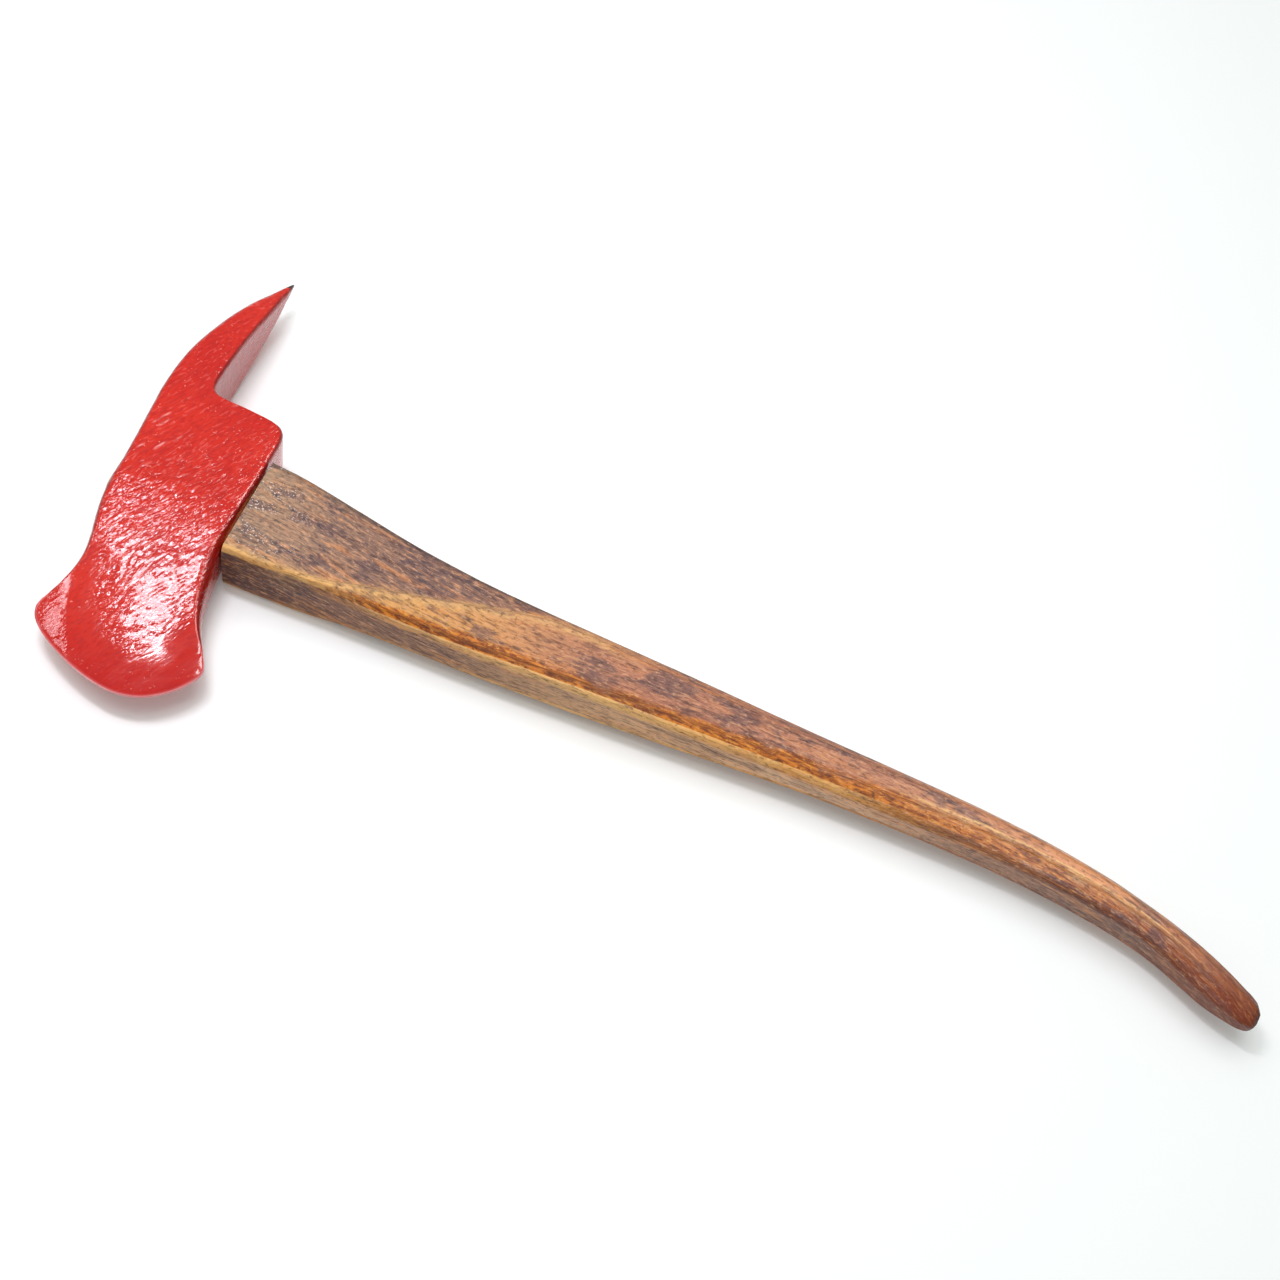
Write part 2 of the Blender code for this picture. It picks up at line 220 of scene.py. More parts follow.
# The stain's colours down the handle: x, then one colour for each of STAIN_LANES, which are the upper
# cheek, the main facet, the ridge facet, the corner below it, and the side.
STAIN = [
    (42, (0.64, 0.52, 0.41), (0.84, 0.62, 0.34), (0.80, 0.54, 0.24), (0.40, 0.25, 0.19), (0.31, 0.18, 0.15)),
    (80, (0.60, 0.47, 0.38), (0.86, 0.63, 0.33), (0.80, 0.54, 0.20), (0.46, 0.30, 0.22), (0.37, 0.23, 0.20)),
    (130, (0.52, 0.39, 0.33), (0.88, 0.65, 0.36), (0.60, 0.32, 0.05), (0.70, 0.50, 0.33), (0.53, 0.38, 0.31)),
    (190, (0.50, 0.37, 0.32), (0.84, 0.60, 0.34), (0.62, 0.33, 0.04), (0.80, 0.60, 0.38), (0.60, 0.45, 0.35)),
    (260, (0.72, 0.50, 0.34), (0.72, 0.48, 0.34), (0.66, 0.36, 0.04), (0.90, 0.71, 0.45), (0.78, 0.61, 0.46)),
    (340, (0.66, 0.42, 0.30), (0.69, 0.45, 0.34), (0.72, 0.39, 0.05), (0.90, 0.66, 0.36), (0.86, 0.68, 0.52)),
    (430, (0.68, 0.43, 0.30), (0.72, 0.48, 0.36), (0.70, 0.38, 0.05), (0.78, 0.52, 0.20), (0.88, 0.71, 0.57)),
    (520, (0.74, 0.47, 0.30), (0.80, 0.52, 0.34), (0.64, 0.32, 0.06), (0.60, 0.35, 0.16), (0.66, 0.48, 0.38)),
    (600, (0.84, 0.56, 0.35), (0.92, 0.61, 0.38), (0.60, 0.28, 0.06), (0.44, 0.20, 0.10), (0.52, 0.38, 0.33)),
    (660, (0.76, 0.49, 0.29), (0.74, 0.44, 0.24), (0.52, 0.23, 0.05), (0.44, 0.21, 0.09), (0.48, 0.33, 0.26)),
    (704, (0.40, 0.18, 0.05), (0.42, 0.16, 0.01), (0.42, 0.16, 0.01), (0.34, 0.13, 0.01), (0.24, 0.12, 0.06)),
]
STAIN_LANES = (0.5, 1.55, 2.3, 3.0, 3.25)


# ---------------------------------------------------------------- shapes
def curve_at(points, at):
    """A smooth curve through the points, whose first column is the parameter."""
    rows = np.asarray(points, float)
    knots, values = rows[:, 0], rows[:, 1:]
    secants = np.diff(values, axis=0) / np.diff(knots)[:, None]
    slopes = np.vstack([secants[:1], (secants[1:] + secants[:-1]) / 2, secants[-1:]])
    slopes[:-1][secants == 0] = 0
    slopes[1:][secants == 0] = 0
    at = np.atleast_1d(np.asarray(at, float))
    i = np.clip(np.searchsorted(knots, at, side="right") - 1, 0, len(knots) - 2)
    width = (knots[i + 1] - knots[i])[:, None]
    t = (at - knots[i])[:, None] / width
    start = (1 + 2 * t) * (1 - t) ** 2 * values[i] + t * (1 - t) ** 2 * width * slopes[i]
    end = t * t * (3 - 2 * t) * values[i + 1] + t * t * (t - 1) * width * slopes[i + 1]
    return start + end


def step(value, low, high):
    """0 below low, 1 above high, eased between. high may be the lower of the two."""
    t = np.clip((value - low) / (high - low), 0, 1)
    return t * t * (3 - 2 * t)


def noise(points, seed):
    """Gradient noise, about -1 to 1, at points measured in its cells."""
    draw = np.random.default_rng(seed)
    order = draw.permutation(256)
    slopes = draw.normal(size=(256, 3))
    slopes /= np.linalg.norm(slopes, axis=1)[:, None]
    cell = np.floor(points).astype(int)
    inside = points - cell
    fade = inside**3 * (inside * (inside * 6 - 15) + 10)
    total = np.zeros(len(points))
    for corner in np.ndindex(2, 2, 2):
        near = cell + corner
        pick = order[(order[(order[near[:, 0] & 255] + near[:, 1]) & 255] + near[:, 2]) & 255]
        weight = np.where(corner, fade, 1 - fade).prod(axis=1)
        total += weight * (slopes[pick] * (inside - corner)).sum(axis=1)
    return total * NOISE_SPREAD


def loft(name, rings, strip_end=False):
    """A closed mesh through rings of equal length. strip_end closes the last ring with a strip."""
    count = len(rings[0])
    mesh = bpy.data.meshes.new(name)
    i = np.arange(count)
    j = (i + 1) % count
    faces = [tuple(range(count))[::-1]]
    for k in range(len(rings) - 1):
        low, high = k * count, (k + 1) * count
        faces += np.column_stack([low + i, low + j, high + j, high + i]).tolist()
    last = (len(rings) - 1) * count
    if strip_end:
        for a in range(count // 2 - 1):
            faces.append((last + a, last + a + 1, last + count - 2 - a, last + count - 1 - a))
    else:
        faces.append(tuple(last + a for a in range(count)))
    mesh.from_pydata((np.vstack(rings) * MM).tolist(), [], faces)
    mesh.validate()
    obj = bpy.data.objects.new(name, mesh)
    bpy.context.scene.collection.objects.link(obj)
    return obj


def points_of(mesh):
    """The mesh's points, in millimetres."""
    flat = np.empty(len(mesh.vertices) * 3)
    mesh.vertices.foreach_get("co", flat)
    return flat.reshape(-1, 3) / MM


def normals_of(mesh):
    """The mesh's normals, one at each point."""
    flat = np.empty(len(mesh.vertices) * 3)
    mesh.vertex_normals.foreach_get("vector", flat)
    return flat.reshape(-1, 3)


def move_points(mesh, points):
    """Puts the mesh's points at these places, in millimetres."""
    mesh.vertices.foreach_set("co", (points * MM).ravel())
    mesh.update()


def give_values(mesh, name, values, kind="FLOAT"):
    """Stores one number, or one colour, per vertex for the material to read."""
    layer = mesh.attributes.new(name, kind, "POINT")
    if kind == "FLOAT_COLOR":
        values = np.column_stack([values, np.ones(len(values))])
        layer.data.foreach_set("color", values.ravel())
    else:
        layer.data.foreach_set("value", values)


def cut(obj, cutters):
    """Cuts the cutters from obj, applies it, and removes them."""
    for cutter in cutters:
        modifier = obj.modifiers.new("cut", "BOOLEAN")
        modifier.operation = "DIFFERENCE"
        modifier.solver = "EXACT"
        modifier.object = cutter
    graph = bpy.context.evaluated_depsgraph_get()
    made = bpy.data.meshes.new_from_object(obj.evaluated_get(graph))
    obj.modifiers.clear()
    obj.data = made
    for cutter in cutters:
        bpy.data.objects.remove(cutter, do_unlink=True)


def head_half_thickness(y):
    """Half the head's thickness. It tapers to the cutting edge one way and to the pick's tip the other."""
    down = np.clip((CHEEK_LOW_Y - y) / (CHEEK_LOW_Y - EDGE_Y), 0, 1)
    up = np.clip((y - CHEEK_HIGH_Y) / (PICK_TIP_Y - CHEEK_HIGH_Y), 0, 1)
    blade = MID - (MID - EDGE_HALF_THICKNESS) * down**BLADE_TAPER_POWER
    return blade * (1 - PICK_TAPER * up**PICK_TAPER_POWER)


def across_head(left, right, bow, share):
    """Points across the head: straight where bow is 0, the cutting edge's own shape where it is 1."""
    outline = np.array(EDGE_OUTLINE)
    knots = np.linspace(0, 1, len(outline))
    chord = outline[-1] - outline[0]
    along_knots = (outline - outline[0]) @ chord / (chord @ chord)
    edge = curve_at(np.column_stack([knots, outline]), share)
    along = curve_at(np.column_stack([knots, along_knots]), share)
    moved = share[:, None] + bow * (along - share[:, None])
    return left + (right - left) * moved + bow * (edge - outline[0] - chord * along)


def head_ring(station, rounding, squeeze):
    """A ring round one of the head's sections. rounding is its radius on the crown side and the underside,
    and squeeze is the share of its thickness that it keeps."""
    left, right, bow = station[:2], station[2:4], station[4]
    arc = np.linspace(0, np.pi / 2, ARC_STEPS + 1)
    span = np.linalg.norm(right - left)
    toe_to_heel_y = (EDGE_OUTLINE[0][1] + EDGE_OUTLINE[-1][1]) / 2
    half = head_half_thickness((left[1] + right[1]) / 2 + bow * (EDGE_Y - toe_to_heel_y)) * squeeze
    radii = [min(radius, ROUNDING_SHARE * span, ROUNDING_DEPTH * half) for radius in rounding]
    insets = [radius * (1 - np.cos(arc)) / span for radius in radii]
    heights = [half - radius + radius * np.sin(arc) for radius in radii]
    middle = np.linspace(insets[0][-1], 1 - insets[1][-1], CHEEK_POINTS + 2)[1:-1]
    share = np.concatenate([insets[0], middle, 1 - insets[1][::-1]])
    height = np.concatenate([heights[0], np.full(CHEEK_POINTS, half), heights[1][::-1]])
    plan = across_head(left, right, bow, share)
    # Several rows of points down each narrow side, between the two faces.
    rows = np.linspace(1, -1, SIDE_ROWS + 2)[1:-1]
    right_side = np.column_stack([np.repeat(plan[-1:], SIDE_ROWS, 0), MID + rows * height[-1]])
    left_side = np.column_stack([np.repeat(plan[:1], SIDE_ROWS, 0), MID - rows * height[0]])
    upper = np.column_stack([plan, MID + height])
    lower = np.column_stack([plan, MID - height])[::-1]
    return np.vstack([upper, right_side, lower, left_side])


def eight_sided(x, back, front, half, corners, length):
    """A flat ring across the handle, as in the CAD, with extra points along each flat. It returns the
    ring and each point's lane: 0 at the first corner, 1 at the second and so on round to 8. corners are
    those of the upper half, each as a share of the way to the front and a drop below the top."""
    y = [back + (front - back) * share for share, _ in corners]
    z = [half - drop for _, drop in corners]
    upper = list(zip(y, z))
    outline = np.array(upper + [(py, -pz) for py, pz in upper[::-1]])
    starts, ends = [], []
    for k, corner in enumerate(outline):
        to_before = outline[k - 1] - corner
        to_after = outline[(k + 1) % SIDES] - corner
        starts.append(corner + to_before * min(length / np.linalg.norm(to_before), ROUNDING_SHARE))
        ends.append(corner + to_after * min(length / np.linalg.norm(to_after), ROUNDING_SHARE))
    ring, lanes = [], []
    for k, corner in enumerate(outline):
        for t in np.linspace(0, 1, CORNER_POINTS):
            ring.append((1 - t) ** 2 * starts[k] + 2 * t * (1 - t) * corner + t * t * ends[k])
            lanes.append(k + (t - 0.5) * CORNER_LANES)
        for t in np.linspace(0, 1, FLATS[k] + 2)[1:-1]:
            ring.append(ends[k] + (starts[(k + 1) % SIDES] - ends[k]) * t)
            lanes.append(k + CORNER_LANES / 2 + (1 - CORNER_LANES) * t)
    ring = np.array(ring)
    return np.column_stack([np.full(len(ring), x), ring[:, 0], MID + ring[:, 1]]), np.array(lanes)


def handle_ring(x):
    """A ring round the handle's body, and its lanes."""
    back, front, half, length = (curve_at(line, x)[0, 0] for line in (BACK, FRONT, HALF, CORNER_LENGTH))
    drops = [curve_at(line, x)[0, 0] for line in (BACK_DROP, RIDGE_DROP, SIDE_DROP)]
    cheek, ridge = (curve_at(line, x)[0, 0] for line in (CHEEK_LINE, RIDGE_LINE))
    corners = [(0.0, drops[0]), (cheek, 0.0), (ridge, drops[1]), (1.0, drops[2])]
    return eight_sided(x, back, front, half, corners, length)


def tenon_ring(x, grow=0.0):
    """A ring round the tenon, and its lanes. With grow it is a ring of the eye."""
    share = (x - CROWN_X) / (UNDERSIDE_X - CROWN_X)
    half = TENON_HALF_HEIGHT_TOP + (TENON_HALF_HEIGHT_LOW - TENON_HALF_HEIGHT_TOP) * share + grow
    reach = TENON_HALF_LENGTH + grow
    drop = TENON_CORNER_DROP * half
    corners = [(0.0, drop), (TENON_CORNER, 0.0), (1 - TENON_CORNER, 0.0), (1.0, drop)]
    return eight_sided(x, EYE_Y + reach, EYE_Y - reach, half, corners, TENON_CORNER_LENGTH)


def wedge_slot(name, middle_y, depth, top, point, half_width, upright):
    """The cutter for a wedge driven in from the crown."""
    rings = []
    slope = (top - point) / depth
    for x in (CROWN_X - WEDGE_OVERSHOOT, CROWN_X + depth + GAP):
        thin = top - slope * (x - CROWN_X) + GAP
        wide = half_width + GAP
        half_y, half_z = (thin, wide) if upright else (wide, thin)
        corners = ((half_y, half_z), (-half_y, half_z), (-half_y, -half_z), (half_y, -half_z))
        rings.append(np.array([(x, middle_y + y, MID + z) for y, z in corners]))
    return loft(name, rings)


# ---------------------------------------------------------------- materials
def srgb(red, green, blue):
    """A colour as seen on a screen, 0 to 1, as the linear values Blender takes."""
    seen = np.array([red, green, blue], float)
    return np.where(seen <= 0.04045, seen / 12.92, ((seen + 0.055) / 1.055) ** 2.4)


class Shader:
    """A material built in code. An input that is given a socket is linked, and any other value is set."""

    def __init__(self, name):
        self.material = bpy.data.materials.new(name)
        self.material.use_nodes = True
        self.tree = self.material.node_tree
        self.surface = self.tree.nodes["Principled BSDF"]

    def give(self, socket, value):
        if isinstance(value, bpy.types.NodeSocket):
            self.tree.links.new(value, socket)
        elif socket.type == "RGBA":
            socket.default_value = (*value, 1.0)
        else:
            socket.default_value = value

    def add(self, kind, settings=(), output=0, **inputs):
        """A new node's output. Its inputs are given by name, or by number as i0, i1 and so on."""
        node = self.tree.nodes.new("ShaderNode" + kind)
        for key, value in dict(settings).items():
            setattr(node, key, value)
        for key, value in inputs.items():
            index = int(key[1:]) if key[0] == "i" and key[1:].isdigit() else key
            self.give(node.inputs[index], value)
        return node.outputs[output]

    def set(self, **inputs):
        """Sets the surface's own inputs, by names with _ for each space."""
        for key, value in inputs.items():
            self.give(self.surface.inputs[key.replace("_", " ")], value)

    def times(self, a, b):
        return self.add("Math", {"operation": "MULTIPLY"}, i0=a, i1=b)

    def span(self, value, low, high, to_low=0.0, to_high=1.0):
        """value's range low to high, eased onto to_low to to_high."""
        names = {"From Min": low, "From Max": high, "To Min": to_low, "To Max": to_high}
        return self.add("MapRange", {"interpolation_type": "SMOOTHSTEP"}, Value=value, **names)

    def mix(self, share, a, b):
        """The colour a where share is 0, and b where it is 1."""
        return self.add("Mix", {"data_type": "RGBA"}, 2, i0=share, i6=a, i7=b)

    def tint(self, colour, share, other):
        """colour, with a share of the screen colour other."""
        return self.mix(share, colour, srgb(*other))

    def place(self, turn=(0, 0, 0), stretch=(1, 1, 1), start=None):
        """The object's own coordinates in metres, turned by degrees and then stretched."""
        start = start or self.add("TexCoord", output=3)
        turned = self.add("Mapping", Vector=start, Rotation=[math.radians(a) for a in turn])
        return self.add("Mapping", Vector=turned, Scale=stretch)

    def noise(self, at, scale, detail=2.0, roughness=0.5, distortion=0.0):
        """Noise of 0 to 1, with scale cells to the metre."""
        settings = {"Scale": scale, "Detail": detail, "Roughness": roughness, "Distortion": distortion}
        return self.add("TexNoise", Vector=at, **settings)

    def bump(self, height, distance, strength=1.0, under=None):
        inputs = {"Height": height, "Distance": distance, "Strength": strength}
        if under:
            inputs["Normal"] = under
        return self.add("Bump", **inputs)

    def value(self, name, output=2):
        """A number (output 2) or a colour (output 0) stored on the mesh."""
        return self.add("Attribute", {"attribute_name": name}, output)


def paint_material():
    """Gloss red enamel, put on thick with a brush."""
    m = Shader("brushed_red_paint")
    strokes = m.place(turn=(0, 0, -STROKE_TURN), stretch=(0.32, 1, 1))
    whole = m.place()
    rough = m.value("rough")
    lines = m.noise(strokes, 600, 1, 0.5, 0.4)
    colour = m.mix(m.span(m.noise(whole, 22, 2), 0.35, 0.7), srgb(0.80, 0.13, 0.05), srgb(0.755, 0.09, 0.03))
    streaks = m.times(m.span(lines, 0.60, 0.70), rough)
    specks = m.times(m.span(m.noise(whole, 620, 1), 0.66, 0.74), m.span(m.noise(whole, 90, 1), 0.48, 0.64))
    for share, tone in (
        # Darker red in the strokes' hollows: painted shade.
        (m.span(lines, 0.50, 0.36, 0.0, 0.5), (0.66, 0.05, 0.06)),
        # Short pale streaks on the strokes' ridges, and pale specks: painted highlights, glints of light off
        # the paint's relief.
        (m.times(streaks, 0.30), (0.95, 0.52, 0.50)),
        (m.times(specks, 0.55), (0.99, 0.66, 0.60)),
        # Pale lines along the scratches: painted highlights.
        (m.times(m.value("scratch"), m.span(lines, 0.40, 0.56, 0.15, 0.65)), (0.98, 0.72, 0.70)),
        # Deeper red along the cutting edge, where the faces fall away from the light: painted shade.
        (m.times(m.value("thick"), 0.45), (0.72, 0.03, 0.03)),
        # Dark red on the rounded edges between the faces and the sides: painted shade.
        (m.times(m.value("rim_shade"), 0.7), (0.42, 0.02, 0.03)),
        # Pale pink on the cutting edge's narrow face: painted reflection of the white table.
        (m.times(m.value("edge_reflection"), 0.7), (0.95, 0.54, 0.55)),
        # Darker red on the pick's inner side: painted shade.
        (m.times(m.value("inner_side_shade"), 0.6), (0.60, 0.01, 0.01)),
    ):
        colour = m.tint(colour, share, tone)
    steel = m.mix(m.noise(whole, 500, 2), srgb(0.16, 0.13, 0.13), srgb(0.34, 0.28, 0.27))
    ragged = m.add("Math", {"operation": "ADD"}, i0=m.value("bare"), i1=m.times(m.noise(whole, 260, 3), 0.5))
    colour = m.mix(m.span(ragged, 0.72, 0.86), colour, steel)
    normal = m.bump(m.noise(strokes, 1100, 1), 0.00007, rough)
    normal = m.bump(lines, 0.00080, rough, normal)
    m.set(Base_Color=colour, Roughness=m.span(m.noise(strokes, 180, 2), 0.3, 0.7, 0.10, 0.17), Normal=normal)
    m.set(Coat_Weight=0.35, Coat_Roughness=0.06, Coat_IOR=1.5, Specular_IOR_Level=0.5)
    return m.material


def wood_material():
    """Stained and varnished hardwood. Its grain follows each flat of the handle."""
    m = Shader("stained_varnished_wood")
    grain = m.add("CombineXYZ", X=m.value("along"), Y=m.value("around"), Z=m.value("face"))

    def along_grain(stretch, *settings):
        return m.noise(m.place(stretch=(stretch, 1, 1), start=grain), *settings)

    fibres = along_grain(0.16, 1150, 3, 0.65, 0.2)
    streaks = along_grain(0.17, 520, 3, 0.6, 0.5)
    bands = along_grain(0.09, 150, 3, 0.6, 0.9)
    mottle = along_grain(0.5, 470, 3, 0.6, 0.5)
    clumps = along_grain(0.4, 95, 2, 0.5, 0.6)
    pores = along_grain(0.30, 560, 2, 0.5)
    specks = along_grain(0.8, 900, 1)
    clump = m.times(m.span(clumps, 0.50, 0.62, 0.0, 0.66), m.value("patchy"))
    pore = m.times(m.span(pores, 0.54, 0.64), m.value("open"))
    pore = m.times(pore, m.span(clumps, 0.42, 0.60, 0.10, 1.0))
    dry = m.times(m.value("dry"), m.span(clumps, 0.46, 0.58, 0.0, 0.8))
    colour = m.value("stain", 0)
    for share, tone in (
        (m.span(bands, 0.46, 0.32, 0.0, 0.55), (0.82, 0.52, 0.27)),
        (m.span(bands, 0.52, 0.70, 0.0, 0.60), (0.35, 0.22, 0.20)),
        (clump, (0.35, 0.26, 0.28)),
        (m.span(streaks, 0.52, 0.68, 0.0, 0.62), (0.30, 0.20, 0.19)),
        (m.span(streaks, 0.46, 0.32, 0.0, 0.50), (0.86, 0.60, 0.38)),
        (m.span(mottle, 0.53, 0.70, 0.0, 0.55), (0.26, 0.16, 0.13)),
        (m.span(mottle, 0.46, 0.30, 0.0, 0.50), (0.87, 0.66, 0.50)),
        (m.span(fibres, 0.52, 0.70, 0.0, 0.42), (0.22, 0.13, 0.10)),
        (m.span(fibres, 0.46, 0.32, 0.0, 0.35), (0.90, 0.70, 0.52)),
        (m.value("tip"), (0.52, 0.20, 0.03)),
        # Dark dashes where the stain has filled the open pores, and pale ones where it hasn't.
        (m.times(pore, 0.72), (0.25, 0.20, 0.22)),
        (m.times(m.span(specks, 0.60, 0.68), dry), (0.93, 0.89, 0.86)),
    ):
        colour = m.tint(colour, share, tone)
    resin = m.mix(m.span(streaks, 0.40, 0.60), srgb(0.82, 0.47, 0.05), srgb(0.52, 0.24, 0.02))
    resin = m.tint(resin, m.span(mottle, 0.48, 0.32, 0.0, 0.6), (0.93, 0.66, 0.26))
    resin = m.tint(resin, m.span(mottle, 0.54, 0.66, 0.0, 0.75), (0.30, 0.14, 0.04))
    colour = m.mix(m.times(m.value("amber"), m.span(fibres, 0.70, 0.45, 0.55, 1.0)), colour, resin)
    for share, tone in (
        (m.times(m.value("crack"), m.span(streaks, 0.32, 0.46, 0.25, 1.0)), (0.34, 0.16, 0.05)),
        # Pale gold along the corners: varnish pooled there, with a painted highlight on it.
        (m.times(m.value("varnish_and_highlight"), m.span(mottle, 0.66, 0.44, 0.25, 1.0)), (0.93, 0.73, 0.45)),
        # Dark along the back edge: painted shade; the grip's last few millimetres darker too.
        (m.times(m.value("rim_shade"), 0.8), (0.15, 0.10, 0.08)),
    ):
        colour = m.tint(colour, share, tone)
    # The tenon, bare wood: only its end shows, in the head's eye.
    end_rings = m.noise(m.place(stretch=(0.2, 0.3, 1.6)), 380, 3, 0.6, 0.5)
    bare = m.mix(m.span(end_rings, 0.35, 0.65), srgb(0.74, 0.58, 0.40), srgb(0.50, 0.34, 0.22))
    colour = m.mix(m.value("tenon"), colour, bare)
    normal = m.bump(mottle, 0.00035, 0.8)
    normal = m.bump(fibres, 0.00025, 0.7, normal)
    normal = m.bump(pore, -0.00018, 0.6, normal)
    gloss = m.times(m.value("smooth"), 0.26)
    rough = m.add("Math", {"operation": "SUBTRACT"}, i0=m.span(streaks, 0.3, 0.7, 0.56, 0.72), i1=gloss)
    m.set(Base_Color=colour, Roughness=rough, Normal=normal, Specular_IOR_Level=0.38)
    return m.material


def end_grain_material(name, pale, dark):
    """Bare split wood, seen on its end."""
    m = Shader(name)
    rings = m.noise(m.place(stretch=(0.2, 0.4, 1.6)), 420, 3, 0.6, 0.6)
    pores = m.span(m.noise(m.place(), 1500, 2), 0.62, 0.75)
    colour = m.mix(m.span(rings, 0.35, 0.65), srgb(*pale), srgb(*dark))
    colour = m.tint(colour, m.times(pores, 0.6), (0.22, 0.14, 0.09))
    m.set(Base_Color=colour, Roughness=m.span(rings, 0.3, 0.7, 0.5, 0.72), Normal=m.bump(rings, 0.0003, 0.6))
    return m.material


def steel_material():
    """Dull steel, dented by the hammer."""
    m = Shader("hammered_steel")
    dents = m.noise(m.place(), 700, 3, 0.6)
    colour = m.mix(m.span(dents, 0.35, 0.65), srgb(0.62, 0.61, 0.60), srgb(0.36, 0.34, 0.33))
    m.set(Base_Color=colour, Metallic=1.0, Roughness=m.span(dents, 0.3, 0.7, 0.3, 0.55))
    m.set(Normal=m.bump(dents, 0.0003, 0.6))
    return m.material


# ---------------------------------------------------------------- the head
def head_loft():
    """The head from the pick's tip to the cutting edge, with the eye cut through it."""
    last = len(HEAD_STATIONS) - 1
    keys = [(k, *station) for k, station in enumerate(HEAD_STATIONS)]
    roundings = [
        (0, PICK_ROUNDING),
        (EYE_STATION, PICK_ROUNDING),
        (BEARD_STATION, BEARD_ROUNDING),
        (last, BEARD_ROUNDING),
    ]
    body = np.linspace(0, last - EDGE_STRETCH, HEAD_RINGS)
    edge = last - EDGE_STRETCH * (1 - np.linspace(0, 1, EDGE_RINGS + 1)[1:])
    rings = []
    for place in np.concatenate([body, edge]):
        rounding_off = max(0.0, (place - last + EDGE_STRETCH) / EDGE_STRETCH)
        squeeze = math.sqrt(1 - EDGE_SQUEEZE * rounding_off**6)
        station = curve_at(keys, place)[0]
        rounding = (CROWN_ROUNDING, curve_at(roundings, place)[0, 0])
        rings.append(head_ring(station, rounding, squeeze))
    obj = loft("axe_head_painted", rings, strip_end=True)
    through = (CROWN_X - EYE_OVERSHOOT, UNDERSIDE_X + EYE_OVERSHOOT)
    cut(obj, [loft("eye", [tenon_ring(x, GAP)[0] for x in through])])
    return obj


def with_strokes(x, y):
    """How far a place lies along the brush strokes, and how far across them."""
    turn = math.radians(STROKE_TURN)
    along = x * math.cos(turn) + y * math.sin(turn)
    across = -x * math.sin(turn) + y * math.cos(turn)
    return along, across


def from_cutting_edge(x, y):
    """The distance to the cutting edge, in plan."""
    keys = [(k, *point) for k, point in enumerate(EDGE_OUTLINE)]
    outline = curve_at(keys, np.linspace(0, len(keys) - 1, EDGE_POINTS))
    return np.min(np.hypot(x[:, None] - outline[:, 0], y[:, None] - outline[:, 1]), axis=1)


def paint_roughness(x, y, from_edge, across_toe):
    """How far the strokes stand out. The paint lies smooth beside the toe, at the heel and along the
    cutting edge, and it is roughest in the blade's middle."""
    past_toe = step(across_toe, -2, 3)
    rough = 0.55 + 0.45 * step(y - 0.5 * x, 40, -15)
    rough *= 0.25 + 0.75 * step(across_toe, -14, -22) + 0.55 * past_toe
    rough *= 0.25 + 0.75 * np.maximum(step(from_edge, 18, 31), past_toe)
    rough *= 0.3 + 0.7 * step(np.hypot(x - HEEL[0], y - HEEL[1]), 16, 36)
    return rough


def scratched(run, side, strokes):
    """1 in the middle of a scratch, fading out to its sides and ends."""
    marks = np.zeros(len(run))
    for middle_x, middle_y, length in SCRATCHES:
        middle_run, middle_side = with_strokes(middle_x, middle_y)
        beside = step(np.abs(side - middle_side + 0.5 * strokes), 1.0, 0.1)
        within = step(np.abs(run - middle_run), length / 2, length / 2 - 4)
        marks = np.maximum(marks, beside * within)
    return marks


